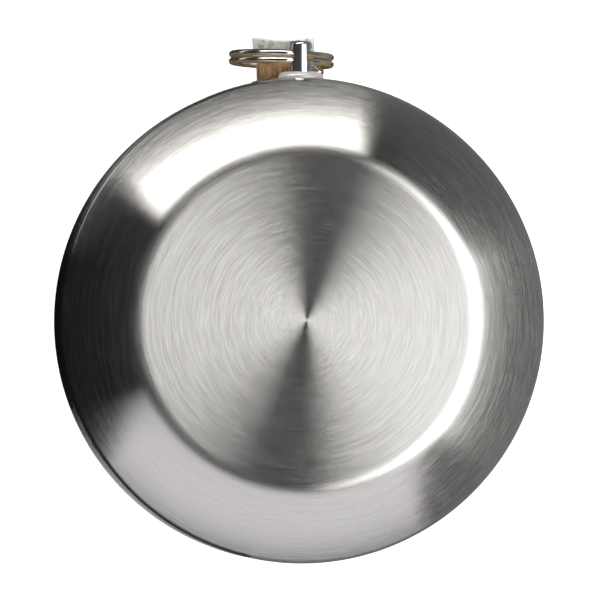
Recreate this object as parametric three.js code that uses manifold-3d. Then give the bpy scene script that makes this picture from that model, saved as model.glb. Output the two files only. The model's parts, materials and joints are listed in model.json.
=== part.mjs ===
// A round, flat canteen of spun steel, lying on its back: a drum with a dished front and a dished back, a
// cork stopper with a fluted metal cap in its side wall, and a lanyard post that carries a split ring.
// Millimetres. +Z is the drum's axis and points out of the front face, +Y points out of the mouth, and the
// origin is the centre of the flat back. The split ring hangs from the post and encircles the stopper.

import * as THREE from "three";
import * as BufferGeometryUtils from "three/addons/utils/BufferGeometryUtils.js";
import Module from "manifold-3d";

const wasm = await Module();
wasm.setup();

// Drum
const thickness = 67; // front face to back face
const wall = 0.8; // sheet thickness
const bandRadius = 71; // outside of the side wall
const rimRadius = 70.8; // outside of both dishes where they meet the side wall
const flatRadius = 47.4; // flat part of each face
const faceFillet = 10.5; // rounding between the flat and the shoulder
const rimFillet = 3; // rounding between the shoulder and the rim
const shoulderStart = THREE.MathUtils.degToRad(30); // the shoulder's slope beside the flat
const shoulderEnd = THREE.MathUtils.degToRad(45); // the shoulder's slope beside the rim
const skirtDepth = 2.4; // part of each dish that tucks inside the side wall
const beadRadius = 0.45; // weld bead between dish and side wall
const beadGap = 0.15;
const gap = 0.3; // clearance between pieces that are fitted to each other
const aroundDrum = 48; // facets round the drum
const aroundNeck = 36; // facets round the neck and stopper
const aroundPin = 20; // facets round posts, studs and washers

// Mouth and stopper, on an axis along Y
const mouthX = -4.05;
const mouthZ = 29.45;
const corkTopRadius = 8.05;
const corkEndRadius = 7.5;
const corkTop = 75.9;
const corkEnd = 59.5;
const corkPlugRadius = 7.5; // upper end of the cork, inside the cap
const neckEnd = 49; // inner end of the neck tube
const neckWall = 0.6;
const lipWidth = 0.4;
const lipHeight = 0.4;
const capRadius = 9.2;
const capTop = 83.75;
const capBottom = 76.2;
const capEdge = 0.6; // rounding of the cap's two edges
const fluteCount = 20;
const fluteDepth = 0.4;
const scoopRadius = 36; // the thumb scoop across the top of the cap
const scoopDepth = 1.2;
const capRecess = 4;
const stemRadius = 1.2;
const stemEnd = 55.8;
const stopperWasherRadius = 5.5;
const stopperWasherThickness = 0.8;
const nutThickness = 1.8;
const nutRadius = 2.7;

// Lanyard post
const postZ = 43.65;
const postTop = 81.85;
const postFootRadius = 3.85;
const postTopRadius = 3.25;
const postEdge = 0.6;
const holeY = 77.15; // centre of the cross hole, where the split ring turns
const holeRadius = 2.85;
const baseWidth = 13.4; // the domed foot, an oval
const baseDepth = 9.2;
const baseTop = 72.9;
const tailRadius = 1.6; // threaded tail through the side wall
const tailEnd = 65.8;
const washerRadius = 3;
const washerThickness = 0.8;

// Split ring
const ringRadius = 14.5; // to the middle of the wire
const wireRadius = 0.975;
const coilPitch = 2.1; // from one turn to the next
const ringX = -4.7; // centre of the ring
const ringRoll = THREE.MathUtils.degToRad(-2.2); // its lean to the side
const ringPitch = THREE.MathUtils.degToRad(-1.7); // its droop behind the stopper
const crossingHalf = THREE.MathUtils.degToRad(25); // half of the stretch where the wire changes level
const endClearance = THREE.MathUtils.degToRad(8); // from that stretch to each end of the wire

// Side stud, a small round-headed rivet beside the mouth
const studX = 5.55;
const studZ = 36.4;
const studTop = 74.9;
const studHeadRadius = 1.8;
const studShankRadius = 1.15;
const studTailRadius = 0.9;
const studTailEnd = 67.6;
const studWasherRadius = 2.4;

// Worked out from the values above
const shoulderRadius =
  (rimRadius -
    flatRadius -
    faceFillet * Math.sin(shoulderStart) -
    rimFillet * (1 - Math.sin(shoulderEnd))) /
  (Math.sin(shoulderEnd) - Math.sin(shoulderStart));
const dishHeight =
  faceFillet * (1 - Math.cos(shoulderStart)) +
  shoulderRadius * (Math.cos(shoulderStart) - Math.cos(shoulderEnd)) +
  rimFillet * Math.cos(shoulderEnd);
const beadSpace = 2 * (beadRadius + beadGap); // between the end of the side wall and a dish
const bandHeight = thickness - 2 * (dishHeight + beadSpace);
const bandInside = bandRadius - wall;
const corkTaper = (corkTopRadius - corkEndRadius) / (corkTop - corkEnd);
const boreMouthRadius = corkEndRadius + corkTaper * (bandRadius - corkEnd) + neckWall / 3;
const boreRadius = corkEndRadius + neckWall / 4;
const neckRadius = boreMouthRadius + neckWall;
const ringZ = postZ - Math.sqrt(ringRadius ** 2 - ringX ** 2) + wireRadius / 3;

const brushedSteel = new THREE.MeshStandardMaterial({ color: 0xc9c7c2, roughness: 0.34, metalness: 1 });
const plainSteel = new THREE.MeshStandardMaterial({ color: 0xb4b3b0, roughness: 0.42, metalness: 1 });
const polishedSteel = new THREE.MeshStandardMaterial({ color: 0xdedddb, roughness: 0.08, metalness: 1 });
const nickel = new THREE.MeshStandardMaterial({ color: 0xd8d5cc, roughness: 0.24, metalness: 1 });
const cork = new THREE.MeshStandardMaterial({ color: 0x9a6f45, roughness: 0.85, metalness: 0 });

function point(across, up) {
  return new THREE.Vector2(across, up);
}

// Points on an arc round (across, up), from one angle to another, both measured from straight up.
function arc(across, up, radius, from, to, steps) {
  return Array.from({ length: steps + 1 }, (_, step) => {
    const angle = from + ((to - from) * step) / steps;
    return point(across + radius * Math.sin(angle), up + radius * Math.cos(angle));
  });
}

// A turned piece about the Y axis. The outline runs up the outside of the piece.
function turned(outline, around) {
  return new THREE.LatheGeometry(outline, around);
}

// A ring about the Y axis whose outline closes on itself.
function turnedRing(outline, around) {
  return turned([...outline, outline[0].clone()], around);
}

function rod(radius, from, to, around) {
  return new THREE.CylinderGeometry(radius, radius, to - from, around).translate(0, (from + to) / 2, 0);
}

// A manifold solid of a closed geometry, with its shared vertices merged.
function solid(geometry) {
  const bare = geometry.index ? geometry.toNonIndexed() : geometry.clone();
  bare.deleteAttribute("normal");
  bare.deleteAttribute("uv");
  const merged = BufferGeometryUtils.mergeVertices(bare, 1e-4);
  const index = merged.index.array;
  const triangles = [];
  for (let i = 0; i < index.length; i += 3) {
    const [a, b, c] = [index[i], index[i + 1], index[i + 2]];
    if (a !== b && b !== c && c !== a) {
      triangles.push(a, b, c);
    }
  }
  const mesh = new wasm.Mesh({
    numProp: 3,
    vertProperties: new Float32Array(merged.attributes.position.array),
    triVerts: new Uint32Array(triangles),
  });
  return new wasm.Manifold(mesh);
}

function geometryOf(manifold) {
  const mesh = manifold.getMesh();
  const geometry = new THREE.BufferGeometry();
  geometry.setAttribute("position", new THREE.BufferAttribute(mesh.vertProperties, 3));
  geometry.setIndex(new THREE.BufferAttribute(mesh.triVerts, 1));
  geometry.computeVertexNormals();
  return geometry;
}

function cut(geometry, ...cutters) {
  return geometryOf(cutters.reduce((left, cutter) => left.subtract(solid(cutter)), solid(geometry)));
}

// The drum's round side as a solid, for fitting pieces to it.
function drumSolid(radius) {
  const facetReach = radius / Math.cos(Math.PI / aroundDrum);
  return new THREE.CylinderGeometry(facetReach, facetReach, thickness, aroundDrum)
    .rotateX(Math.PI / 2)
    .translate(0, 0, thickness / 2);
}

function named(name, geometry, material) {
  const mesh = new THREE.Mesh(geometry, material);
  mesh.name = name;
  return mesh;
}

// Half outline of a dish, from the flat to the rim, lying this far inside the outer surface.
function dishSurface(inset, steps) {
  const filletCentre = point(flatRadius, dishHeight - faceFillet);
  const shoulderCentre = point(
    filletCentre.x - (shoulderRadius - faceFillet) * Math.sin(shoulderStart),
    filletCentre.y - (shoulderRadius - faceFillet) * Math.cos(shoulderStart),
  );
  return [
    ...arc(filletCentre.x, filletCentre.y, faceFillet - inset, 0, shoulderStart, 3),
    ...arc(
      shoulderCentre.x,
      shoulderCentre.y,
      shoulderRadius - inset,
      shoulderStart,
      shoulderEnd,
      steps,
    ).slice(1),
  ];
}

// A dish opens downwards from its rim at height 0, and its skirt reaches below the rim.
function dish() {
  const skirtOutside = bandInside - gap;
  const skirtInside = skirtOutside - wall;
  const rim = arc(rimRadius - rimFillet, 0, rimFillet, Math.PI / 2, shoulderEnd, 3);
  return turned(
    [
      point(0, dishHeight - wall),
      ...dishSurface(wall, 3),
      point(skirtInside, -skirtDepth),
      point(skirtOutside, -skirtDepth),
      point(skirtOutside, 0),
      ...rim.slice(0, -1),
      ...dishSurface(0, 5).reverse(),
      point(0, dishHeight),
    ],
    aroundDrum,
  );
}

function bead() {
  const section = arc(bandRadius - beadRadius / 2, 0, beadRadius, Math.PI, -Math.PI, 6);
  return turnedRing(section.slice(0, -1), aroundDrum).rotateX(Math.PI / 2);
}

// The side wall, with holes for the neck, the post's tail and the stud's tail.
function sideBand() {
  const half = bandHeight / 2;
  const band = turnedRing(
    [
      point(bandInside, -half),
      point(bandRadius, -half),
      point(bandRadius, half),
      point(bandInside, half),
    ],
    aroundDrum,
  )
    .rotateX(Math.PI / 2)
    .translate(0, 0, thickness / 2);
  const reach = [bandInside - 10, bandRadius + 10];
  return cut(
    band,
    rod(neckRadius + gap, ...reach, aroundNeck).translate(mouthX, 0, mouthZ),
    rod(tailRadius + gap, ...reach, aroundPin).translate(0, 0, postZ),
    rod(studTailRadius + gap, ...reach, aroundPin).translate(studX, 0, studZ),
  );
}

function body() {
  const group = new THREE.Group();
  const frontShell = named("front_shell", dish(), brushedSteel);
  frontShell.rotation.x = Math.PI / 2;
  frontShell.position.z = thickness - dishHeight;
  const rearShell = named("rear_shell", dish(), brushedSteel);
  rearShell.rotation.x = -Math.PI / 2;
  rearShell.position.z = dishHeight;
  const frontSeam = named("front_seam", bead(), plainSteel);
  frontSeam.position.z = thickness - dishHeight - beadSpace / 2;
  const rearSeam = named("rear_seam", bead(), plainSteel);
  rearSeam.position.z = dishHeight + beadSpace / 2;
  group.add(frontShell, rearShell, frontSeam, rearSeam);
  group.add(named("side_band", sideBand(), brushedSteel));
  return group;
}

// The neck tube lines the mouth. Its bore tapers with the cork, and its outer end follows the drum's curve.
function neckTube() {
  const bore = turnedRing(
    [
      point(boreRadius + neckWall, neckEnd),
      point(boreRadius + neckWall, corkEnd - 1),
      point(neckRadius, bandRadius - 5),
      point(neckRadius, bandRadius + 3),
      point(boreMouthRadius + 3 * corkTaper, bandRadius + 3),
      point(boreRadius, corkEnd - 1),
      point(boreRadius, neckEnd),
    ],
    aroundNeck,
  ).translate(mouthX, 0, mouthZ);
  return geometryOf(solid(bore).intersect(solid(drumSolid(bandRadius + gap))));
}

// A low raised lip on the side wall, round the end of the neck tube.
function mouthLip() {
  const inner = neckRadius + gap;
  const ring = turnedRing(
    [
      point(inner, bandRadius - 5),
      point(inner + lipWidth, bandRadius - 5),
      point(inner + lipWidth, bandRadius + 3),
      point(inner, bandRadius + 3),
    ],
    aroundNeck,
  ).translate(mouthX, 0, mouthZ);
  const outside = solid(drumSolid(bandRadius + gap + lipHeight));
  return geometryOf(solid(ring).intersect(outside).subtract(solid(drumSolid(bandRadius + gap))));
}

function mouth() {
  const group = new THREE.Group();
  group.add(named("neck_tube", neckTube(), plainSteel));
  group.add(named("mouth_lip", mouthLip(), plainSteel));
  return group;
}

// The fluted round of the cap, seen along its axis.
function flutedOutline(radius) {
  const perFlute = 5;
  const points = Array.from({ length: fluteCount * perFlute }, (_, step) => {
    const angle = (2 * Math.PI * step) / (fluteCount * perFlute);
    const groove = Math.sin((fluteCount * angle) / 2) ** 2;
    const reach = radius - fluteDepth * groove;
    return point(reach * Math.cos(angle), reach * Math.sin(angle));
  });
  return new THREE.Shape(points);
}

function stopperCap() {
  const round = new THREE.ExtrudeGeometry(flutedOutline(capRadius - capEdge), {
    depth: capTop - capBottom - 2 * capEdge,
    bevelEnabled: true,
    bevelThickness: capEdge,
    bevelSize: capEdge,
    bevelSegments: 2,
  })
    .rotateX(-Math.PI / 2)
    .translate(0, capBottom + capEdge, 0);
  const scoop = new THREE.CylinderGeometry(scoopRadius, scoopRadius, 4 * capRadius, 4 * aroundNeck)
    .rotateX(Math.PI / 2)
    .translate(0, capTop - scoopDepth + scoopRadius, 0);
  const recess = rod(corkPlugRadius + gap, capBottom - 1, capBottom + capRecess, aroundNeck);
  return cut(round, scoop, recess);
}

function stopperCork() {
  const plugTop = capBottom + capRecess - gap;
  const bore = stemRadius + gap;
  return turnedRing(
    [
      point(bore, corkEnd),
      point(corkEndRadius - 0.5, corkEnd),
      point(corkEndRadius, corkEnd + 0.5),
      point(corkTopRadius, corkTop - 0.4),
      point(corkTopRadius - 0.4, corkTop),
      point(corkPlugRadius, corkTop),
      point(corkPlugRadius, plugTop),
      point(bore, plugTop),
    ],
    aroundNeck,
  );
}

function flatWasher(outer, inner, from, height) {
  return turnedRing(
    [
      point(inner, from),
      point(outer, from),
      point(outer, from + height),
      point(inner, from + height),
    ],
    aroundPin,
  );
}

// A hexagonal nut about the Y axis, standing on a given height.
function hexNut(radius, inner, from, height) {
  const corners = Array.from({ length: 6 }, (_, side) => {
    const angle = (side * Math.PI) / 3;
    return point(radius * Math.cos(angle), radius * Math.sin(angle));
  });
  const outline = new THREE.Shape(corners);
  outline.holes.push(new THREE.Path().absarc(0, 0, inner, 0, 2 * Math.PI, true));
  return new THREE.ExtrudeGeometry(outline, { depth: height, bevelEnabled: false, curveSegments: aroundPin })
    .rotateX(-Math.PI / 2)
    .translate(0, from, 0);
}

function stopper() {
  const group = new THREE.Group();
  const washerFrom = corkEnd - gap - stopperWasherThickness;
  const nutFrom = washerFrom - gap - nutThickness;
  const stemTop = capBottom + capRecess - gap;
  group.add(named("stopper_cap", stopperCap(), nickel));
  group.add(named("stopper_cork", stopperCork(), cork));
  group.add(named("stopper_stem", rod(stemRadius, stemEnd, stemTop, aroundPin), plainSteel));
  group.add(
    named(
      "stopper_washer",
      flatWasher(stopperWasherRadius, stemRadius + gap, washerFrom, stopperWasherThickness),
      plainSteel,
    ),
  );
  group.add(
    named("stopper_nut", hexNut(nutRadius, stemRadius + gap, nutFrom, nutThickness), plainSteel),
  );
  group.position.set(mouthX, 0, mouthZ);
  return group;
}

// The post flares towards its foot, has a cross hole for the ring and ends in a tail through the side wall.
function lanyardPost() {
  const foot = baseTop + gap;
  const post = turned(
    [
      point(0, tailEnd),
      point(tailRadius, tailEnd),
      point(tailRadius, foot),
      point(postFootRadius, foot),
      point(postFootRadius - 0.15, foot + 0.8),
      ...arc(postTopRadius - postEdge, postTop - postEdge, postEdge, Math.PI / 2, 0, 3),
      point(0, postTop),
    ],
    aroundPin + 8,
  );
  const hole = rod(holeRadius, -2 * postFootRadius, 2 * postFootRadius, aroundPin + 4)
    .rotateZ(Math.PI / 2)
    .translate(0, holeY, 0);
  return cut(post, hole);
}

// An oval dome that sits on the side wall under the post.
function postBase() {
  const halfWidth = baseWidth / 2;
  const crown = postFootRadius + 0.4;
  const low = bandRadius - 2;
  const edge = bandRadius + 0.5;
  const dome = turned(
    [
      point(0, low),
      point(halfWidth, low),
      point(halfWidth, edge),
      ...[1, 2, 3].map((step) => {
        const angle = (step * Math.PI) / 6;
        const across = crown + (halfWidth - crown) * Math.cos(angle);
        return point(across, edge + (baseTop - edge) * Math.sin(angle));
      }),
      point(0, baseTop),
    ],
    aroundNeck,
  )
    .scale(1, 1, baseDepth / baseWidth)
    .translate(0, 0, postZ);
  const tailHole = rod(tailRadius + gap, low - 5, baseTop + 5, aroundPin).translate(0, 0, postZ);
  return cut(dome, drumSolid(bandRadius + gap), tailHole);
}

// The height just inside the side wall where a flat washer clears the wall's curve.
function underWall(across) {
  return Math.sqrt(bandInside ** 2 - across ** 2) - gap;
}

function lanyardMount() {
  const group = new THREE.Group();
  const post = new THREE.Group();
  const washerFrom = underWall(washerRadius) - washerThickness;
  const bore = tailRadius + gap;
  post.add(named("lanyard_post", lanyardPost(), polishedSteel));
  post.add(named("post_washer", flatWasher(washerRadius, bore, washerFrom, washerThickness), plainSteel));
  post.add(
    named("post_nut", hexNut(nutRadius, bore, washerFrom - gap - nutThickness, nutThickness), plainSteel),
  );
  post.position.z = postZ;
  group.add(post, named("post_base", postBase(), polishedSteel));
  return group;
}

// The wire of the split ring: almost two turns side by side, changing level on the side away from the post.
class SplitRingWire extends THREE.Curve {
  getPoint(share, target = new THREE.Vector3()) {
    const turn = 2 * Math.PI;
    const start = crossingHalf + endClearance;
    const angle = start + share * (2 * turn - 2 * start);
    const through = THREE.MathUtils.clamp((angle - turn + crossingHalf) / (2 * crossingHalf), 0, 1);
    const level = (through * through * (3 - 2 * through) - 0.5) * coilPitch;
    return target.set(ringRadius * Math.sin(angle), level, -ringRadius * Math.cos(angle));
  }
}

function splitRing() {
  const section = new THREE.Shape().absarc(0, 0, wireRadius, 0, 2 * Math.PI, false);
  const wire = new THREE.ExtrudeGeometry(section, {
    steps: 76,
    curveSegments: 4,
    extrudePath: new SplitRingWire(),
  });
  const ring = named("split_ring", wire, polishedSteel);
  ring.position.set(ringX, 0, ringZ - postZ);
  const hinge = new THREE.Group();
  hinge.add(ring);
  hinge.rotation.set(ringPitch, 0, ringRoll);
  hinge.position.set(0, holeY, postZ);
  return hinge;
}

// A waisted stud with a domed head, riveted through the side wall.
function sideStud() {
  const seat = bandRadius + gap;
  const neckTop = studTop - 2 * studHeadRadius + 0.6;
  return turned(
    [
      point(0, studTailEnd),
      point(studTailRadius, studTailEnd),
      point(studTailRadius, seat),
      point(studShankRadius, seat),
      point(studShankRadius, neckTop),
      ...arc(0, studTop - studHeadRadius, studHeadRadius, (3 * Math.PI) / 4, 0, 6),
    ],
    aroundPin,
  );
}

function studMount() {
  const group = new THREE.Group();
  const washerFrom = underWall(studX + studWasherRadius) - washerThickness;
  const washer = flatWasher(studWasherRadius, studTailRadius + gap, washerFrom, washerThickness);
  group.add(named("side_stud", sideStud(), polishedSteel));
  group.add(named("stud_washer", washer, plainSteel));
  group.position.set(studX, 0, studZ);
  return group;
}

const canteen = new THREE.Group();
canteen.add(body(), mouth(), stopper(), lanyardMount(), splitRing(), studMount());

export default canteen;
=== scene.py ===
"""A round canteen of brushed steel, lying on its back, seen from nearly straight above its front face.

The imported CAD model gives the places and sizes. The shells, the side wall, the seams, the mouth, the
stopper, the post with its foot, the split ring and the stud are rebuilt here as fine meshes over their CAD
nodes. What sits inside the drum keeps its CAD mesh. Everything is in metres, in the CAD model's frame: +Z
out of the front face and +Y out of the mouth.
"""

import json
import math

import bmesh
import bpy
from mathutils import Matrix, Vector, noise

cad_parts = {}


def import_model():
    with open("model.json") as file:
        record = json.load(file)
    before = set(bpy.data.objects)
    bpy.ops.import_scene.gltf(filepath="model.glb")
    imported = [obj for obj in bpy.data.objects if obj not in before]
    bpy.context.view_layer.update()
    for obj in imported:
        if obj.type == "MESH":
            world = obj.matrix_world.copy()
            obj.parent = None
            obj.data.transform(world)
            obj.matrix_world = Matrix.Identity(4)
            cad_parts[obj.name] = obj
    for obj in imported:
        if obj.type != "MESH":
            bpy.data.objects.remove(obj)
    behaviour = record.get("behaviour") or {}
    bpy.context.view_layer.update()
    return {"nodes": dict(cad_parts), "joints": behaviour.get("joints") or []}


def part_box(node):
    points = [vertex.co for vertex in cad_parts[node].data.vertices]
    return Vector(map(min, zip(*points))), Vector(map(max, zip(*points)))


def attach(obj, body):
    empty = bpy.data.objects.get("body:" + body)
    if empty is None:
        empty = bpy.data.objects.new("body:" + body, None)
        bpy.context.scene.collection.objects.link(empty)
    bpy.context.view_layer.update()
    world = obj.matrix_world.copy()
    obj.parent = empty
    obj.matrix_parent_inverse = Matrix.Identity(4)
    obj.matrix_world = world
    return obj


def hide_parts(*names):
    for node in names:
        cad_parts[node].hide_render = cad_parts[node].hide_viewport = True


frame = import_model()

MM = 0.001
CREASE = 35  # degrees: a sharper bend between two faces shows as an edge


def corners(node):
    """Lowest and highest corner of a CAD node."""
    low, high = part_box(node)
    return Vector(low), Vector(high)


def half_width(low, high):
    """Half of a node's width along X, which is its radius if it is round about +Y."""
    return (high.x - low.x) / 2


def upright_axis(low, high):
    """The point with y 0 on the line along +Y through the middle of a node."""
    return Vector(((low.x + high.x) / 2, 0, (low.z + high.z) / 2))


# Places and sizes that the frame gives
shell_low, shell_high = corners("front_shell")
band_low, band_high = corners("side_band")
cap_low, cap_high = corners("stopper_cap")
cork_low, cork_high = corners("stopper_cork")
post_low, post_high = corners("lanyard_post")
base_low, base_high = corners("post_base")
stud_low, stud_high = corners("side_stud")
tube_low, tube_high = corners("neck_tube")
lip_low, lip_high = corners("mouth_lip")
hinge_at = Vector(next(j["pos_m"] for j in frame["joints"] if j["name"] == "ring_swing"))

# Drum
THICKNESS = shell_high.z
RIM_RADIUS = shell_high.x
BAND_RADIUS = band_high.x
WALL = 0.8 * MM
FLAT_RADIUS = 47.4 * MM
FACE_FILLET = 10.5 * MM  # with the rim's rounding and the two slopes, this sets a dish's height
RIM_FILLET = 3 * MM
SHOULDER_START = math.radians(30)
SHOULDER_END = math.radians(45)
EASE_START = 46.5 * MM  # the flat bends into the shoulder gradually between these two radii
EASE_END = 53.3 * MM
RIM_START = RIM_RADIUS - RIM_FILLET * (1 - math.sin(SHOULDER_END))  # where the shoulder ends
SHOULDER_RADIUS = (RIM_START - FLAT_RADIUS - FACE_FILLET * math.sin(SHOULDER_START)) / (
    math.sin(SHOULDER_END) - math.sin(SHOULDER_START)
)
DISH_HEIGHT = (
    FACE_FILLET * (1 - math.cos(SHOULDER_START))
    + SHOULDER_RADIUS * (math.cos(SHOULDER_START) - math.cos(SHOULDER_END))
    + RIM_FILLET * math.cos(SHOULDER_END)
)
SKIRT_DEPTH = THICKNESS - DISH_HEIGHT - shell_low.z
SKIRT_CLEARANCE = 0.1 * MM
BAND_EDGE = 0.2 * MM
BAND_STRETCH = 0.1 * MM  # the side wall comes this much nearer to each bead than its CAD node does
BEAD_RADIUS = 0.58 * MM
BEAD_INSET = 0.68 * MM  # from the outside of the side wall to the middle of a bead
BEAD_WAVER = 0.1  # share by which a bead's width changes
BEAD_RIPPLES = 9
AROUND_DRUM = 320

# Mouth and stopper
MOUTH = upright_axis(cap_low, cap_high)
TUBE_RADIUS = half_width(tube_low, tube_high)
TUBE_WALL = 0.6 * MM
TUBE_FLARE = BAND_RADIUS - 5 * MM  # the neck tube narrows below this height
CAP_RADIUS = half_width(cap_low, cap_high)
CAP_WAIST = 0.93  # width of the cap's lower edge, as a share of its top's
FLUTES = 20
POINTS_PER_FLUTE = 16
FLUTE_DEPTH = 0.3 * MM
FLUTE_SHARPNESS = 1.4  # 1 would make the flutes as wide as the ribs between them
SCOOP_RADIUS = 36 * MM
SCOOP_DEPTH = 1.2 * MM
CAST_LUMPS = 450  # per metre
CAST_DEPTH = 0.05 * MM
CORK_END_RADIUS = 7.5 * MM
CORK_TOP = cap_low.y - 0.3 * MM
PITS_ROUND = 900  # per metre
PITS_ALONG = 420
PIT_DEPTH = 0.28 * MM
STEM_RADIUS = 1.2 * MM
THREAD_DEPTH = 0.16 * MM
THREAD_TURNS = 10
JOINT = 0.02 * MM  # gap left between pieces that touch

# Post, ring and stud
POST = Vector((hinge_at.x, 0, hinge_at.z))
POST_FOOT_RADIUS = half_width(post_low, post_high)
POST_TOP_RADIUS = 3.25 * MM
POST_EDGE = 1.1 * MM
POST_HOLE_RADIUS = 2.85 * MM
TAIL_RADIUS = 1.6 * MM
TAIL_CLEARANCE = 0.2 * MM
RING_RADIUS = 14.5 * MM
WIRE_RADIUS = 0.975 * MM
WIRE_BEVEL = 0.15 * MM
COIL_PITCH = 2.1 * MM
RING_OFFSET = 4.7 * MM  # from the post to the ring's centre, towards -X
RING_CENTRE = Vector((-RING_OFFSET, 0, WIRE_RADIUS / 3 - math.sqrt(RING_RADIUS**2 - RING_OFFSET**2)))
RING_ROLL = math.radians(-2.2)  # its lean to the side
RING_PITCH = math.radians(-1.7)  # its droop behind the stopper
CROSSING_HALF = math.radians(25)  # the wire changes level between this far before and after its middle
END_CLEARANCE = math.radians(8)
STUD = upright_axis(stud_low, stud_high)
STUD_HEAD_RADIUS = half_width(stud_low, stud_high)
STUD_SHANK_RADIUS = 1.15 * MM
STUD_TAIL_RADIUS = 0.9 * MM

# Camera and studio
CAMERA_DISTANCE = 3.0
CAMERA_TILT = math.radians(4.3)
CAMERA_SIDE = math.radians(188)  # the camera leans towards this side, measured from +X
VIEW_WIDTH = 175.2 * MM
SENSOR_WIDTH = 36
AIM = Vector((-0.7 * MM, 6.0 * MM, THICKNESS - DISH_HEIGHT))
LIGHT_DISTANCE = 2.2
FLOOR_SIZE = 12
FLOOR_DROP = 0.05 * MM  # keeps the floor from coinciding with the flat back
CARD_HEIGHT = 0.5 * MM
SURROUNDINGS = 0.004
WHITE = (1, 1, 1)


# ---------------------------------------------------------------------------------------------- mesh tools


def spaced(start, end, steps):
    """steps + 1 evenly spaced values from start to end."""
    return [start + (end - start) * k / steps for k in range(steps + 1)]


def full_turn(count):
    """count angles evenly round a circle."""
    return [2 * math.pi * k / count for k in range(count)]


def arc(across, up, radius, start, end, steps):
    """Points on an arc round (across, up), with angles measured from straight up towards across."""
    return [(across + radius * math.sin(a), up + radius * math.cos(a)) for a in spaced(start, end, steps)]


def smooth(low, high, value):
    """0 up to low, 1 from high on, and an even S-shaped step between them."""
    share = max(0.0, min(1.0, (value - low) / (high - low)))
    return share * share * (3 - 2 * share)


def object_from(name, mesh, material, body, node, crease=CREASE):
    """Makes a bmesh into a shown piece that rides on body in the CAD node's stead, smooth up to crease."""
    bmesh.ops.recalc_face_normals(mesh, faces=mesh.faces)
    data = bpy.data.meshes.new(name)
    mesh.to_mesh(data)
    mesh.free()
    for polygon in data.polygons:
        polygon.use_smooth = True
    data.set_sharp_from_angle(angle=math.radians(crease))
    data.materials.append(material)
    piece = bpy.data.objects.new(name, data)
    bpy.context.scene.collection.objects.link(piece)
    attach(piece, body)
    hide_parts(node)
    return piece


def turned(outline, around, place, closed=False):
    """A turned solid. outline holds (radius, height); place maps (radius, angle, height) to a point.

    A closed outline makes a ring. An open one starts and ends on the axis, at radius 0.
    """
    mesh = bmesh.new()
    rows = []
    for radius, height in outline:
        if radius == 0:
            rows.append([mesh.verts.new(place(0, 0, height))] * around)
        else:
            rows.append([mesh.verts.new(place(radius, angle, height)) for angle in full_turn(around)])
    pairs = list(zip(rows, rows[1:]))
    if closed:
        pairs.append((rows[-1], rows[0]))
    for low, high in pairs:
        for k in range(around):
            loop = [low[k], low[(k + 1) % around], high[(k + 1) % around], high[k]]
            face = list(dict.fromkeys(loop))
            if len(face) > 2:
                mesh.faces.new(face)
    return mesh


def skin(mesh, rows, closed=False):
    """Joins rows of vertices, each a closed loop, into a tube."""
    pairs = list(zip(rows, rows[1:]))
    if closed:
        pairs.append((rows[-1], rows[0]))
    for low, high in pairs:
        count = len(low)
        for k in range(count):
            mesh.faces.new([low[k], low[(k + 1) % count], high[(k + 1) % count], high[k]])


def about_z(base, direction=1):
    """Turning about the drum's axis, with heights measured from base along +Z or -Z."""

    def place(radius, angle, height):
        return (radius * math.cos(angle), radius * math.sin(angle), base + direction * height)

    return place


def about_y(centre):
    """Turning about a line along +Y through centre. Heights are Y."""

    def place(radius, angle, height):
        return (centre.x + radius * math.sin(angle), height, centre.z + radius * math.cos(angle))

    return place


def drum_surface(x):
    """Y of the side wall's outside at x."""
    return math.sqrt(BAND_RADIUS**2 - x * x)


def on_drum(centre, follow, depth=1.0):
    """Turning about a line along +Y, where follow(height) says how far the piece keeps to the drum's curve.

    depth squeezes the piece along Z, which makes it oval.
    """

    def place(radius, angle, height):
        x = centre.x + radius * math.sin(angle)
        z = centre.z + depth * radius * math.cos(angle)
        return (x, height + follow(height) * (drum_surface(x) - BAND_RADIUS), z)

    return place


def cut_with(piece, cutter_mesh):
    """Cuts a closed shape out of a piece, and deletes the cutter."""
    bmesh.ops.recalc_face_normals(cutter_mesh, faces=cutter_mesh.faces)
    data = bpy.data.meshes.new("cutter")
    cutter_mesh.to_mesh(data)
    cutter_mesh.free()
    cutter = bpy.data.objects.new("cutter", data)
    bpy.context.scene.collection.objects.link(cutter)
    cut = piece.modifiers.new("cut", "BOOLEAN")
    cut.object = cutter
    cut.solver = "EXACT"
    depsgraph = bpy.context.evaluated_depsgraph_get()
    result = bpy.data.meshes.new_from_object(piece.evaluated_get(depsgraph))
    piece.modifiers.clear()
    piece.data = result
    piece.data.set_sharp_from_angle(angle=math.radians(CREASE))
    bpy.data.objects.remove(cutter)


def rod(radius, low, high, place, around=64):
    """A plain round rod, used to cut holes."""
    return turned([(0, low), (radius, low), (radius, high), (0, high)], around, place)


# ----------------------------------------------------------------------------------------------- materials


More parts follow.
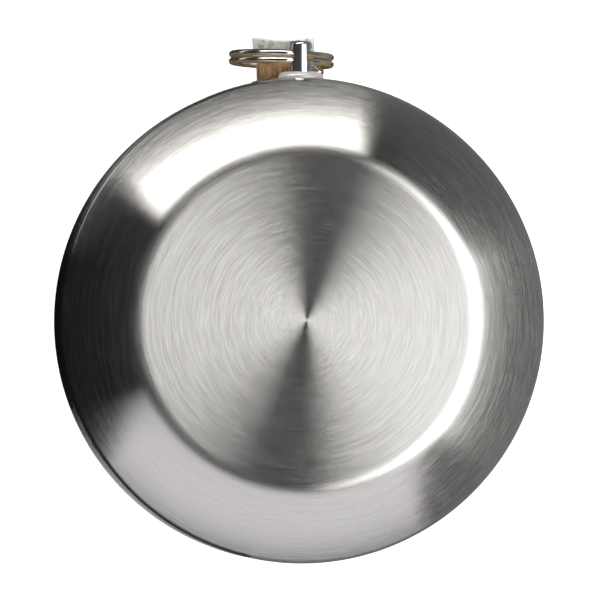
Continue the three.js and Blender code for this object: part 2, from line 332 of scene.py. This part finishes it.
class Nodes:
    """A material's node tree, with short calls for adding and linking nodes."""

    def __init__(self, name):
        self.material = bpy.data.materials.new(name)
        self.material.use_nodes = True
        self.tree = self.material.node_tree
        self.shader = self.tree.nodes["Principled BSDF"]

    def set(self, **values):
        for socket, value in values.items():
            self.shader.inputs[socket.replace("_", " ")].default_value = value

    def add(self, kind, **settings):
        node = self.tree.nodes.new(kind)
        for key, value in settings.items():
            setattr(node, key, value)
        return node

    def link(self, source, target):
        self.tree.links.new(source, target)

    def feed(self, node, *values):
        """Gives a node's inputs their values in order, each a number or another node's output."""
        for socket, value in zip(node.inputs, values):
            if isinstance(value, (int, float)):
                socket.default_value = value
            else:
                self.link(value, socket)
        return node.outputs[0]

    def math(self, operation, *values):
        return self.feed(self.add("ShaderNodeMath", operation=operation), *values)

    def plus(self, first, second):
        return self.math("ADD", first, second)

    def minus(self, first, second):
        return self.math("SUBTRACT", first, second)

    def times(self, first, second):
        return self.math("MULTIPLY", first, second)

    def mix(self, share, first, second):
        """first where share is 0, the fixed colour second where it is 1."""
        node = self.add("ShaderNodeMix", data_type="RGBA")
        self.link(share, node.inputs["Factor"])
        self.link(first, node.inputs["A"])
        node.inputs["B"].default_value = (*second, 1)
        return node.outputs["Result"]

    def noise(self, vector, scale, detail=2.0, roughness=0.5, w=None):
        node = self.add("ShaderNodeTexNoise", noise_dimensions="3D" if w is None else "4D")
        self.link(vector, node.inputs["Vector"])
        if w is not None:
            self.link(w, node.inputs["W"])
        node.inputs["Scale"].default_value = scale
        node.inputs["Detail"].default_value = detail
        node.inputs["Roughness"].default_value = roughness
        return node.outputs["Fac"]

    def ramp(self, value, *stops):
        """A colour ramp through (position, colour) stops."""
        node = self.add("ShaderNodeValToRGB")
        elements = node.color_ramp.elements
        while len(elements) < len(stops):
            elements.new(0.5)
        for element, (position, colour) in zip(elements, stops):
            element.position = position
            element.color = (*colour, 1)
        self.link(value, node.inputs["Fac"])
        return node.outputs["Color"]

    def spread(self, value, low, high):
        """Maps 0 to 1 onto low to high."""
        node = self.add("ShaderNodeMapRange")
        self.link(value, node.inputs["Value"])
        node.inputs["To Min"].default_value = low
        node.inputs["To Max"].default_value = high
        return node.outputs["Result"]

    def bump(self, height, strength, depth):
        """Tilts the surface as if height stood out by up to depth."""
        node = self.add("ShaderNodeBump")
        node.inputs["Strength"].default_value = strength
        node.inputs["Distance"].default_value = depth
        self.link(height, node.inputs["Height"])
        self.link(node.outputs["Normal"], self.shader.inputs["Normal"])

    def object_point(self):
        return self.add("ShaderNodeTexCoord").outputs["Object"]


def round_z(nodes):
    """A point's radius from the drum's axis, its height, and the cosine and sine of its bearing."""
    point = nodes.add("ShaderNodeSeparateXYZ")
    nodes.link(nodes.object_point(), point.inputs[0])
    x, y, z = point.outputs
    radius = nodes.math("SQRT", nodes.plus(nodes.times(x, x), nodes.times(y, y)))
    above_zero = nodes.math("MAXIMUM", radius, 0.01 * MM)
    return radius, z, nodes.math("DIVIDE", x, above_zero), nodes.math("DIVIDE", y, above_zero)


def brush_lines(nodes, across, along, detail):
    """Noise in lines round the drum's axis. across is lines per metre. A larger along shortens them."""
    radius, z, cosine, sine = round_z(nodes)
    vector = nodes.feed(
        nodes.add("ShaderNodeCombineXYZ"),
        nodes.times(radius, across),
        nodes.times(z, across),
        nodes.times(cosine, along),
    )
    return nodes.noise(vector, 1.0, detail=detail, w=nodes.times(sine, along))


def brushed_steel():
    """Spun steel, brushed in circles round the drum's axis, with short scratches on the shoulders."""
    nodes = Nodes("brushed_steel")
    nodes.set(Metallic=1.0, Anisotropic=1.0, Anisotropic_Rotation=0.25)
    tangent = nodes.add("ShaderNodeTangent", direction_type="RADIAL", axis="Z")
    nodes.link(tangent.outputs[0], nodes.shader.inputs["Tangent"])
    fine = brush_lines(nodes, across=2800, along=5, detail=1)
    coarse = brush_lines(nodes, across=1500, along=4, detail=1)
    scratches = brush_lines(nodes, across=2100, along=22, detail=1)
    past_flat = nodes.math("DIVIDE", nodes.minus(round_z(nodes)[0], FLAT_RADIUS), 12.5 * MM)
    worn = nodes.math("MINIMUM", nodes.math("MAXIMUM", past_flat, 0.0), 1.0)
    lines = nodes.plus(nodes.times(fine, 0.7), nodes.times(coarse, 0.3))
    scratched = nodes.times(worn, nodes.minus(scratches, 0.5))
    grain = nodes.plus(lines, nodes.times(scratched, 0.6))
    groove = (0.675, 0.66, 0.64)
    ridge = (0.77, 0.755, 0.73)
    nodes.link(nodes.ramp(grain, (0.32, groove), (0.68, ridge)), nodes.shader.inputs["Base Color"])
    rough = nodes.minus(nodes.spread(grain, 0.158, 0.272), nodes.times(worn, 0.022))
    nodes.link(rough, nodes.shader.inputs["Roughness"])
    nodes.bump(grain, strength=0.15, depth=0.07 * MM)
    return nodes.material


def polished_steel(name, finest, coarsest, metallic=0.94, cork_reflection_share=0.0):
    """Machine-polished fittings with faint polishing marks. The last argument paints an amber reflection of
    the cork on what faces the drum.
    """
    nodes = Nodes(name)
    point = nodes.object_point()
    marks = nodes.noise(point, 900, detail=4, roughness=0.6)
    smears = nodes.noise(point, 160, detail=2)
    dull = (0.72, 0.715, 0.70)
    bright = (0.83, 0.825, 0.81)
    colour = nodes.ramp(smears, (0.2, dull), (0.8, bright))
    rough = nodes.spread(smears, finest, coarsest)
    nodes.set(Metallic=metallic)
    if cork_reflection_share:
        # Painted reflection: the cork's amber is painted as brown colour on the side facing the drum, which
        # is also made rougher and less metallic there.
        painted_cork_reflection = nodes.times(drum_side(nodes, smears), cork_reflection_share)
        colour = nodes.mix(painted_cork_reflection, colour, (0.60, 0.37, 0.13))
        rough = nodes.plus(rough, nodes.times(painted_cork_reflection, 0.3))
        metal = nodes.minus(metallic, nodes.times(painted_cork_reflection, 0.5))
        nodes.link(metal, nodes.shader.inputs["Metallic"])
    nodes.link(colour, nodes.shader.inputs["Base Color"])
    nodes.link(rough, nodes.shader.inputs["Roughness"])
    nodes.bump(marks, strength=0.1, depth=0.03 * MM)
    return nodes.material


def drum_side(nodes, smears):
    """0 to 1 in smeared patches, most where the surface faces the drum, along -Y: the mask of the painted
    amber reflection.
    """
    facing = nodes.add("ShaderNodeSeparateXYZ")
    nodes.link(nodes.add("ShaderNodeTexCoord").outputs["Normal"], facing.inputs[0])
    patchy = nodes.plus(nodes.times(facing.outputs["Y"], -0.8), smears)
    return nodes.ramp(patchy, (0.55, (0, 0, 0)), (1.0, WHITE))


def cast_nickel():
    """The cap: nickel over a casting, a little uneven and duller in patches."""
    nodes = Nodes("cast_nickel")
    nodes.set(Metallic=0.08)
    point = nodes.object_point()
    grains = nodes.noise(point, 1500, detail=5, roughness=0.65)
    patches = nodes.noise(point, 380, detail=3, roughness=0.6)
    tarnished = (0.50, 0.49, 0.43)
    plain = (0.90, 0.895, 0.86)
    rubbed = (0.98, 0.98, 0.965)
    colour = nodes.ramp(patches, (0.34, tarnished), (0.45, plain), (0.6, rubbed))
    nodes.link(colour, nodes.shader.inputs["Base Color"])
    nodes.link(nodes.spread(patches, 0.45, 0.75), nodes.shader.inputs["Roughness"])
    nodes.bump(grains, strength=0.35, depth=0.08 * MM)
    return nodes.material


def plain_steel():
    """Turned steel of the neck, the weld beads and the hidden fasteners."""
    nodes = Nodes("plain_steel")
    nodes.set(Metallic=1.0)
    point = nodes.object_point()
    grains = nodes.noise(point, 1200, detail=4)
    stains = nodes.noise(point, 220, detail=3)
    stained = (0.50, 0.49, 0.475)
    clean = (0.66, 0.655, 0.64)
    nodes.link(nodes.ramp(stains, (0.3, stained), (0.7, clean)), nodes.shader.inputs["Base Color"])
    nodes.link(nodes.spread(grains, 0.24, 0.42), nodes.shader.inputs["Roughness"])
    nodes.bump(grains, strength=0.25, depth=0.05 * MM)
    return nodes.material


def natural_cork():
    """Cork: amber bark with darker patches, fine grain, and dark pores drawn out along the stopper."""
    nodes = Nodes("natural_cork")
    nodes.set(Roughness=0.78, Specular_IOR_Level=0.35)
    stretched = nodes.add("ShaderNodeMapping")
    stretched.inputs["Scale"].default_value = (1.0, 0.3, 1.0)
    nodes.link(nodes.object_point(), stretched.inputs["Vector"])
    point = stretched.outputs["Vector"]
    patches = nodes.noise(point, 420, detail=6, roughness=0.68)
    grain = nodes.noise(point, 2600, detail=5, roughness=0.7)
    pores = nodes.noise(point, 900, detail=3, roughness=0.55)
    bark = nodes.ramp(
        patches,
        (0.32, (0.14, 0.070, 0.028)),
        (0.46, (0.42, 0.245, 0.11)),
        (0.58, (0.60, 0.39, 0.20)),
        (0.72, (0.74, 0.54, 0.33)),
    )
    pore_mask = nodes.ramp(pores, (0.30, WHITE), (0.40, (0, 0, 0)))
    colour = nodes.mix(pore_mask, bark, (0.035, 0.015, 0.007))
    nodes.link(colour, nodes.shader.inputs["Base Color"])
    relief = nodes.minus(nodes.times(grain, 0.4), pore_mask)
    nodes.bump(relief, strength=0.6, depth=0.25 * MM)
    return nodes.material


BRUSHED = brushed_steel()
POLISHED = polished_steel("polished_steel", 0.14, 0.24)
SATIN = polished_steel("satin_steel", 0.3, 0.42, metallic=0.35)
# The split ring's chrome carries a painted amber reflection of the cork on its side facing the drum.
CHROME_PAINTED_REFLECTION = polished_steel("chrome_painted_reflection", 0.06, 0.15, cork_reflection_share=0.9)
NICKEL = cast_nickel()
PLAIN = plain_steel()
CORK = natural_cork()


# -------------------------------------------------------------------------------------------------- pieces


def slope_at(radius):
    """Slope of a dish's outside: flat, easing into the shoulder, which steepens a little to the rim."""
    if radius < EASE_END:
        return SHOULDER_START * smooth(EASE_START, EASE_END, radius)
    share = (radius - EASE_END) / (RIM_START - EASE_END)
    return math.asin(math.sin(SHOULDER_START) * (1 - share) + math.sin(SHOULDER_END) * share)


def dish_surface(steps):
    """(radius, height, slope) down the outside of a dish, from the flat's edge to the rim's rounding."""
    step = (RIM_START - EASE_START) / steps
    radii = spaced(EASE_START, RIM_START, steps)
    drops = [0.0]
    for radius in radii[1:]:
        drops.append(drops[-1] + step * math.tan(slope_at(radius - step / 2)))
    fit = (DISH_HEIGHT - RIM_FILLET * math.cos(SHOULDER_END)) / drops[-1]
    return [(r, DISH_HEIGHT - drop * fit, slope_at(r)) for r, drop in zip(radii, drops)]


def dish_outline():
    """Outline of one dish, from the inside's middle round the skirt and rim to the outside's middle."""
    skirt_outside = BAND_RADIUS - WALL - SKIRT_CLEARANCE
    skirt_inside = skirt_outside - WALL
    rim_underside = -0.25 * MM
    rim_corner = [(RIM_RADIUS - 0.3 * MM, rim_underside), (RIM_RADIUS - 0.05 * MM, -0.1 * MM)]
    flat_rings = spaced(0, EASE_START, steps=8)[1:-1]
    outside = [(r, h) for r, h, _ in dish_surface(steps=72)]
    inside = [(r - WALL * math.sin(a), h - WALL * math.cos(a)) for r, h, a in dish_surface(steps=24)]
    rim = arc(RIM_RADIUS - RIM_FILLET, 0, RIM_FILLET, math.pi / 2, SHOULDER_END, steps=16)
    return (
        [(0, DISH_HEIGHT - WALL)]
        + inside
        + [(skirt_inside, -SKIRT_DEPTH), (skirt_outside, -SKIRT_DEPTH), (skirt_outside, rim_underside)]
        + rim_corner
        + rim[:-1]
        + outside[::-1]
        + [(radius, DISH_HEIGHT) for radius in flat_rings[::-1]]
        + [(0, DISH_HEIGHT)]
    )


def shells():
    """The two spun dishes, alike, one facing +Z and the other -Z."""
    outline = dish_outline()
    front = turned(outline, AROUND_DRUM, about_z(THICKNESS - DISH_HEIGHT))
    rear = turned(outline, AROUND_DRUM, about_z(DISH_HEIGHT, -1))
    object_from("spun_front_shell", front, BRUSHED, "flask", "front_shell")
    object_from("spun_rear_shell", rear, BRUSHED, "flask", "rear_shell")


def weld_bead(name, node, height):
    """A ground-down weld: a thin round bead whose width wavers as a hand-run weld does."""
    middle = BAND_RADIUS - BEAD_INSET
    phase = height * 100  # sets the two beads' ripples apart
    mesh = bmesh.new()
    rows = []
    for angle in full_turn(AROUND_DRUM):
        across, up = math.cos(angle), math.sin(angle)
        ripple = noise.noise(Vector((BEAD_RIPPLES * across, BEAD_RIPPLES * up, phase)))
        radius = BEAD_RADIUS * (1 + BEAD_WAVER * ripple)
        section = [(middle + radius * math.cos(t), height + radius * math.sin(t)) for t in full_turn(12)]
        rows.append([mesh.verts.new((r * across, r * up, z)) for r, z in section])
    skin(mesh, rows, closed=True)
    object_from(name, mesh, PLAIN, "flask", node)


def side_band():
    """The side wall, with bevelled edges, and holes for the neck and the two tails."""
    low = band_low.z - BAND_STRETCH
    high = band_high.z + BAND_STRETCH
    outline = (
        [(BAND_RADIUS - BAND_EDGE, low)]
        + [(BAND_RADIUS, height) for height in spaced(low + BAND_EDGE, high - BAND_EDGE, steps=16)]
        + [(BAND_RADIUS - BAND_EDGE, high), (BAND_RADIUS - WALL, high), (BAND_RADIUS - WALL, low)]
    )
    mesh = turned(outline, AROUND_DRUM, about_z(0), closed=True)
    band = object_from("brushed_side_band", mesh, BRUSHED, "flask", "side_band")
    past_wall = 12 * MM
    reach = (BAND_RADIUS - past_wall, BAND_RADIUS + past_wall)
    cut_with(band, rod(TUBE_RADIUS + 0.15 * MM, *reach, about_y(MOUTH), around=96))
    cut_with(band, rod(TAIL_RADIUS + TAIL_CLEARANCE, *reach, about_y(POST)))
    cut_with(band, rod(STUD_TAIL_RADIUS + TAIL_CLEARANCE, *reach, about_y(STUD)))


def neck_tube():
    """The tapered neck tube, whose rounded outer end follows the drum's curve."""
    bore = TUBE_RADIUS - TUBE_WALL
    narrow_bore = CORK_END_RADIUS + 0.15 * MM
    waist = cork_low.y - 1 * MM
    top = BAND_RADIUS + 0.3 * MM
    edge = 0.25 * MM
    bend = 4 * MM
    outline = [
        (narrow_bore + TUBE_WALL, tube_low.y),
        (narrow_bore + TUBE_WALL, waist),
        (TUBE_RADIUS, TUBE_FLARE),
        (TUBE_RADIUS, top - edge),
        (TUBE_RADIUS - edge, top),
        (bore + edge / 2, top),
        (bore, top - edge),
        (narrow_bore, waist),
        (narrow_bore, tube_low.y),
    ]

    def follow(height):
        """The tube is straight below its flare, and takes up the drum's curve over the bend."""
        return max(0.0, min(1.0, (height - TUBE_FLARE) / bend))

    tube = turned(outline, around=128, place=on_drum(MOUTH, follow), closed=True)
    object_from("neck_tube_fine", tube, PLAIN, "flask", "neck_tube")


def mouth_lip():
    """The raised round lip about the neck tube, on the side wall."""
    outside = half_width(lip_low, lip_high)
    inside = TUBE_RADIUS + 0.1 * MM
    foot = BAND_RADIUS + 0.05 * MM
    half = (outside - inside) / 2
    crown = arc(inside + half, BAND_RADIUS + 0.35 * MM, half, math.pi / 2, -math.pi / 2, steps=8)
    outline = [(inside, foot), (outside, foot)] + crown
    lip = turned(outline, around=128, place=on_drum(MOUTH, lambda height: 1.0), closed=True)
    object_from("mouth_lip_fine", lip, PLAIN, "flask", "mouth_lip")


def stopper_cap():
    """A cast cap: rounded edges, flutes round its side, a thumb scoop in its top, and a recess below."""
    bottom, top = cap_low.y, cap_high.y
    edge = 0.9 * MM
    low_edge = 0.5 * MM
    recess_top = bottom + 4 * MM
    recess_radius = CORK_END_RADIUS + 0.3 * MM

    def side(height):
        return CAP_RADIUS * (CAP_WAIST + (1 - CAP_WAIST) * smooth(bottom, top - edge, height))

    crown = arc(CAP_RADIUS - edge, top - edge, edge, math.pi / 2, 0, steps=10)
    foot = arc(side(bottom) - low_edge, bottom + low_edge, low_edge, math.pi, math.pi / 2, steps=5)
    outline = (
        [(0, recess_top), (recess_radius, recess_top), (recess_radius, bottom)]
        + foot[:-1]
        + [(side(height), height) for height in spaced(bottom + low_edge, top - edge, steps=18)]
        + crown[1:]
        + [(CAP_RADIUS * share, top) for share in (0.82, 0.7, 0.55, 0.4, 0.25, 0.1)]
        + [(0, top)]
    )

    def flute(radius, angle, height):
        """Depth of the groove at a point: none inside the recess, and run out below the crown."""
        groove = (0.5 - 0.5 * math.cos(FLUTES * angle)) ** FLUTE_SHARPNESS
        on_side = smooth(recess_radius, CAP_RADIUS * CAP_WAIST * 0.97, radius)
        below_crown = 1 - smooth(top - 1.3 * MM, top - 0.2 * MM, height)
        return FLUTE_DEPTH * groove * on_side * below_crown

    def place(radius, angle, height):
        radius -= flute(radius, angle, height)
        x = radius * math.sin(angle)
        z = radius * math.cos(angle)
        scoop = SCOOP_DEPTH - (SCOOP_RADIUS - math.sqrt(SCOOP_RADIUS**2 - x * x))
        lumps = CAST_DEPTH * noise.noise(Vector((x, height, z)) * CAST_LUMPS)
        near_top = smooth(top - 2.5 * MM, top - 0.4 * MM, height)
        return (MOUTH.x + x, height + (lumps - max(0.0, scoop)) * near_top, MOUTH.z + z)

    mesh = turned(outline, FLUTES * POINTS_PER_FLUTE, place)
    object_from("cast_stopper_cap", mesh, NICKEL, "stopper", "stopper_cap", crease=50)


def stopper_cork():
    """The tapered cork, with an uneven skin and shallow pits where its pores are."""
    bore = STEM_RADIUS + 0.05 * MM
    end_edge = 0.5 * MM
    top_edge = 0.4 * MM
    top_radius = half_width(cork_low, cork_high)

    def radius_at(height):
        share = (height - cork_low.y) / (CORK_TOP - cork_low.y)
        return CORK_END_RADIUS + (top_radius - CORK_END_RADIUS) * share

    heights = spaced(cork_low.y + end_edge, CORK_TOP - top_edge, steps=60)
    outline = (
        [(bore, cork_low.y), (CORK_END_RADIUS - end_edge, cork_low.y)]
        + [(radius_at(height), height) for height in heights]
        + [(top_radius - top_edge, CORK_TOP), (CORK_END_RADIUS, CORK_TOP)]
        + [(CORK_END_RADIUS, cork_high.y), (bore, cork_high.y)]
    )

    def place(radius, angle, height):
        across, up = math.sin(angle), math.cos(angle)
        on_side = smooth(CORK_END_RADIUS - 1 * MM, CORK_END_RADIUS, radius)
        at = Vector((radius * across * PITS_ROUND, height * PITS_ALONG, radius * up * PITS_ROUND))
        lump = noise.fractal(at, 1.0, 2.0, 3)
        pit = max(0.0, min(1.0, lump - 0.25))
        radius -= PIT_DEPTH * on_side * pit
        return (MOUTH.x + radius * across, height, MOUTH.z + radius * up)

    mesh = turned(outline, around=200, place=place, closed=True)
    object_from("natural_cork_body", mesh, CORK, "stopper", "stopper_cork", crease=60)


def bevelled_ring(outer, inner, low, high, edge):
    """Outline of a washer with its outer edges broken."""
    return [
        (inner, low),
        (outer - edge, low),
        (outer, low + edge),
        (outer, high - edge),
        (outer - edge, high),
        (inner, high),
    ]


def hexagon(place):
    """Makes a turned piece six-sided: each radius is drawn in to the flats of a hexagon."""

    def six_sided(radius, angle, height):
        sector = (angle + math.pi / 6) % (math.pi / 3) - math.pi / 6
        flat = math.cos(math.pi / 6) / math.cos(abs(sector) - math.pi / 6)
        return place(radius * flat, angle, height)

    return six_sided


def stopper_stem():
    """The rod through the cork, threaded at its lower end."""
    low, high = corners("stopper_stem")
    edge = 0.25 * MM
    thread_low = low.y + 2 * edge
    thread_high = cork_low.y - 0.2 * MM
    pitch = (thread_high - thread_low) / THREAD_TURNS
    outline = [(0, low.y), (STEM_RADIUS - edge, low.y), (STEM_RADIUS, low.y + edge)]
    for turn in range(THREAD_TURNS):
        crest = thread_low + pitch * turn
        outline += [(STEM_RADIUS, crest), (STEM_RADIUS - THREAD_DEPTH, crest + pitch / 2)]
    outline += [(STEM_RADIUS, thread_high), (STEM_RADIUS, high.y), (0, high.y)]
    stem = turned(outline, around=48, place=about_y(MOUTH))
    object_from("threaded_stem", stem, PLAIN, "stopper", "stopper_stem")


def stopper_fasteners():
    """The washer under the cork, and the six-sided nut under the washer."""
    place = about_y(MOUTH)
    low, high = corners("stopper_washer")
    hole = STEM_RADIUS + 0.15 * MM
    ring = bevelled_ring(half_width(low, high), hole, low.y, cork_low.y - JOINT, 0.15 * MM)
    washer = turned(ring, around=96, place=place, closed=True)
    object_from("stopper_washer_fine", washer, PLAIN, "stopper", "stopper_washer")
    nut_low, nut_high = corners("stopper_nut")
    hole = STEM_RADIUS + 0.1 * MM
    ring = bevelled_ring(half_width(nut_low, nut_high), hole, nut_low.y, low.y - JOINT, 0.2 * MM)
    nut = turned(ring, around=96, place=hexagon(place), closed=True)
    object_from("stopper_nut_fine", nut, PLAIN, "stopper", "stopper_nut", crease=25)


def lanyard_post():
    """The post: a shaft that widens to its foot, with a rounded top, a cross hole and a tail."""
    foot = base_high.y - 0.05 * MM
    foot_radius = POST_FOOT_RADIUS - 0.3 * MM
    shaft_top = post_high.y - POST_EDGE
    tail_edge = 0.2 * MM
    shaft = zip(spaced(foot_radius, POST_TOP_RADIUS, steps=24), spaced(foot, shaft_top, steps=24))
    outline = (
        [(0, post_low.y), (TAIL_RADIUS - tail_edge, post_low.y), (TAIL_RADIUS, post_low.y + tail_edge)]
        + [(TAIL_RADIUS, foot)]
        + list(shaft)
        + arc(POST_TOP_RADIUS - POST_EDGE, shaft_top, POST_EDGE, math.pi / 2, 0, steps=10)[1:]
        + [(POST_TOP_RADIUS * 0.4, post_high.y), (0, post_high.y)]
    )
    mesh = turned(outline, around=96, place=about_y(POST))
    post = object_from("polished_post", mesh, POLISHED, "flask", "lanyard_post")
    reach = 2 * POST_FOOT_RADIUS

    def along_x(radius, angle, height):
        return (height, hinge_at.y + radius * math.sin(angle), hinge_at.z + radius * math.cos(angle))

    cut_with(post, rod(POST_HOLE_RADIUS, -reach, reach, along_x, around=72))


def post_base():
    """The oval domed foot of the post, lying close on the drum's curve."""
    width = half_width(base_low, base_high)
    depth = (base_high.z - base_low.z) / (base_high.x - base_low.x)
    hole = TAIL_RADIUS + 0.1 * MM
    low = BAND_RADIUS + JOINT
    edge = BAND_RADIUS + 0.35 * MM
    top = base_high.y
    crown = POST_FOOT_RADIUS + 0.35 * MM
    angles = spaced(0, math.pi / 2, steps=16)
    dome = [(crown + (width - crown) * math.cos(a), edge + (top - edge) * math.sin(a)) for a in angles]
    outline = [(hole, low), (width - 0.15 * MM, low)] + dome + [(hole, top)]

    def follow(height):
        return 1 - smooth(edge, top, height)

    mesh = turned(outline, around=128, place=on_drum(POST, follow, depth), closed=True)
    object_from("domed_post_base", mesh, SATIN, "flask", "post_base")


def split_ring():
    """Almost two turns of round wire side by side, changing level on the side away from the post."""
    steps = 420
    start = CROSSING_HALF + END_CLEARANCE
    along_y = Vector((0, 1, 0))
    lie = Matrix.Rotation(RING_PITCH, 3, "X") @ Matrix.Rotation(RING_ROLL, 3, "Z")
    mesh = bmesh.new()

    def section(share, radius):
        angle = start + share * (4 * math.pi - 2 * start)
        level = (smooth(-CROSSING_HALF, CROSSING_HALF, angle - 2 * math.pi) - 0.5) * COIL_PITCH
        outward = Vector((math.sin(angle), 0, -math.cos(angle)))
        middle = RING_CENTRE + outward * RING_RADIUS + along_y * level
        rim = [(outward * math.cos(turn) + along_y * math.sin(turn)) * radius for turn in full_turn(28)]
        return [mesh.verts.new(hinge_at + lie @ (middle + point)) for point in rim]

    bevel_share = WIRE_BEVEL / (4 * math.pi * RING_RADIUS)
    whole_wire = spaced(0, 1, steps)[1:-1]
    rows = [section(0, WIRE_RADIUS - WIRE_BEVEL)]
    rows += [section(share, WIRE_RADIUS) for share in [bevel_share] + whole_wire + [1 - bevel_share]]
    rows.append(section(1, WIRE_RADIUS - WIRE_BEVEL))
    skin(mesh, rows)
    mesh.faces.new(rows[0])
    mesh.faces.new(rows[-1])
    object_from("split_ring_wire", mesh, CHROME_PAINTED_REFLECTION, "split_ring", "split_ring")


def side_stud():
    """A waisted stud with a domed head."""
    top = stud_high.y
    seat = BAND_RADIUS + JOINT
    tail_edge = 0.2 * MM
    fillet = 0.45 * MM
    collar = arc(STUD_SHANK_RADIUS + fillet, seat + fillet, fillet, math.pi, 1.5 * math.pi, steps=6)
    head = arc(0, top - STUD_HEAD_RADIUS, STUD_HEAD_RADIUS, 0.78 * math.pi, 0, steps=24)
    outline = (
        [(0, stud_low.y), (STUD_TAIL_RADIUS - tail_edge, stud_low.y)]
        + [(STUD_TAIL_RADIUS, stud_low.y + tail_edge), (STUD_TAIL_RADIUS, seat)]
        + collar
        + head[:-1]
        + [(0, top)]
    )
    mesh = turned(outline, around=64, place=about_y(STUD))
    object_from("domed_side_stud", mesh, POLISHED, "flask", "side_stud")


def hidden_fasteners():
    """What sits inside the drum keeps its CAD mesh, with the plain steel material."""
    for node in ("post_washer", "post_nut", "stud_washer"):
        piece = frame["nodes"][node]
        piece.data.materials.clear()
        piece.data.materials.append(PLAIN)


# -------------------------------------------------------------------------------------------------- studio


def glowing(name, shade, glow):
    """A matt grey of the given shade that also gives off white light."""
    nodes = Nodes(name)
    nodes.set(Base_Color=(shade, shade, shade, 1), Roughness=1.0)
    nodes.set(Emission_Color=(*WHITE, 1), Emission_Strength=glow)
    return nodes.material


def floor():
    """A pale, evenly lit floor that the canteen lies on. The metal doesn't reflect it."""
    bpy.ops.mesh.primitive_plane_add(size=FLOOR_SIZE, location=(0, 0, -FLOOR_DROP))
    plane = bpy.context.object
    plane.name = "floor"
    plane.data.materials.append(glowing("pale_floor", shade=0.9, glow=0.9))
    plane.visible_glossy = False
    plane.visible_shadow = False


def card(name, outline, brightness):
    """A pale card just above the floor, seen only in the metal. outline holds its (x, y) corners."""
    mesh = bpy.data.meshes.new(name)
    mesh.from_pydata([(x, y, CARD_HEIGHT) for x, y in outline], [], [range(len(outline))])
    mesh.materials.append(glowing(name, shade=0, glow=brightness))
    sheet = bpy.data.objects.new(name, mesh)
    bpy.context.scene.collection.objects.link(sheet)
    sheet.visible_camera = False
    sheet.visible_diffuse = False
    sheet.visible_shadow = False


def arc_card(name, bearings, inner, outer, brightness):
    """A card in the shape of part of a ring round the drum.

    bearings are its first and last, in degrees clockwise from +Y. inner holds its inner radius at each.
    """
    start, end = [math.radians(bearing) for bearing in bearings]
    steps = 24
    far = arc(0, 0, outer, start, end, steps)
    shrink = [radius / outer for radius in spaced(*inner, steps)]
    near = [(x * share, y * share) for (x, y), share in zip(far, shrink)]
    card(name, near + far[::-1], brightness)


def cards():
    """Pale cards that show in the side wall at the lower left, all down the right and in the split ring."""
    close = BAND_RADIUS - 6 * MM
    clear = BAND_RADIUS + 7 * MM
    arc_card("card_lower_left", bearings=(195, 250), inner=(close, clear), outer=clear, brightness=1.0)
    beside = BAND_RADIUS + 14 * MM
    arc_card("card_right", bearings=(5, 190), inner=(beside, beside), outer=600 * MM, brightness=0.16)
    left, right = -320 * MM, -110 * MM
    near, far = 90 * MM, 260 * MM
    card("card_upper_left", [(left, near), (right, near), (right, far), (left, far)], brightness=0.8)


def world():
    """Surroundings that are all but dark, so that the lights and the cards alone make the reflections."""
    surroundings = bpy.data.worlds.new("studio")
    bpy.context.scene.world = surroundings
    surroundings.use_nodes = True
    background = surroundings.node_tree.nodes["Background"]
    background.inputs["Color"].default_value = (SURROUNDINGS, SURROUNDINGS, SURROUNDINGS, 1)
    background.inputs["Strength"].default_value = 1.0


def softbox(name, side, lean, width, length, radiance, colour=WHITE):
    """A rectangular light aimed at the drum. side is its bearing from +X and lean its angle from overhead.

    width goes round the drum's axis and length up and down, both as shares of the light's distance.
    """
    side, lean = math.radians(side), math.radians(lean)
    level = Vector((math.cos(side), math.sin(side), 0))
    direction = level * math.sin(lean) + Vector((0, 0, math.cos(lean)))
    light = bpy.data.lights.new(name, "AREA")
    light.shape = "RECTANGLE"
    light.size = width * LIGHT_DISTANCE
    light.size_y = length * LIGHT_DISTANCE
    light.energy = radiance * math.pi * light.size * light.size_y
    light.color = colour
    lamp = bpy.data.objects.new(name, light)
    across = Vector((-math.sin(side), math.cos(side), 0))
    along = direction.cross(across)
    turn = Matrix((across, along, direction)).transposed()
    lamp.matrix_world = Matrix.Translation(AIM + direction * LIGHT_DISTANCE) @ turn.to_4x4()
    bpy.context.scene.collection.objects.link(lamp)


def studio_lights():
    """A key light over the right side, one beyond the mouth, a broad one at the foot, and a faint one."""
    warm = (1.0, 0.99, 0.965)
    cool = (0.985, 0.975, 1.0)
    softbox("key_right", side=-8, lean=31.2, width=0.84, length=0.82, radiance=2.8)
    softbox("upper_left", side=104, lean=57.5, width=1.24, length=0.37, radiance=4.0, colour=warm)
    softbox("lower", side=261, lean=61, width=2.0, length=1.0, radiance=0.86, colour=cool)
    softbox("right_rim", side=10, lean=90, width=3.4, length=1.1, radiance=0.08)


def camera():
    """A long lens aimed at AIM, with +Y up in the picture."""
    level = Vector((math.cos(CAMERA_SIDE), math.sin(CAMERA_SIDE), 0))
    towards = level * math.sin(CAMERA_TILT) + Vector((0, 0, math.cos(CAMERA_TILT)))
    data = bpy.data.cameras.new("camera")
    data.sensor_width = SENSOR_WIDTH
    data.lens = SENSOR_WIDTH * CAMERA_DISTANCE / VIEW_WIDTH
    view = bpy.data.objects.new("camera", data)
    right = Vector((0, 1, 0)).cross(towards).normalized()
    up = towards.cross(right)
    turn = Matrix((right, up, towards)).transposed()
    view.matrix_world = Matrix.Translation(AIM + towards * CAMERA_DISTANCE) @ turn.to_4x4()
    bpy.context.scene.collection.objects.link(view)
    bpy.context.scene.camera = view
    bpy.context.scene.view_settings.view_transform = "Standard"


camera()
shells()
weld_bead("front_weld_bead", "front_seam", (shell_low.z + SKIRT_DEPTH + band_high.z) / 2)
weld_bead("rear_weld_bead", "rear_seam", (DISH_HEIGHT + band_low.z) / 2)
side_band()
neck_tube()
mouth_lip()
stopper_cap()
stopper_cork()
stopper_stem()
stopper_fasteners()
lanyard_post()
post_base()
split_ring()
side_stud()
hidden_fasteners()
floor()
world()
studio_lights()
cards()
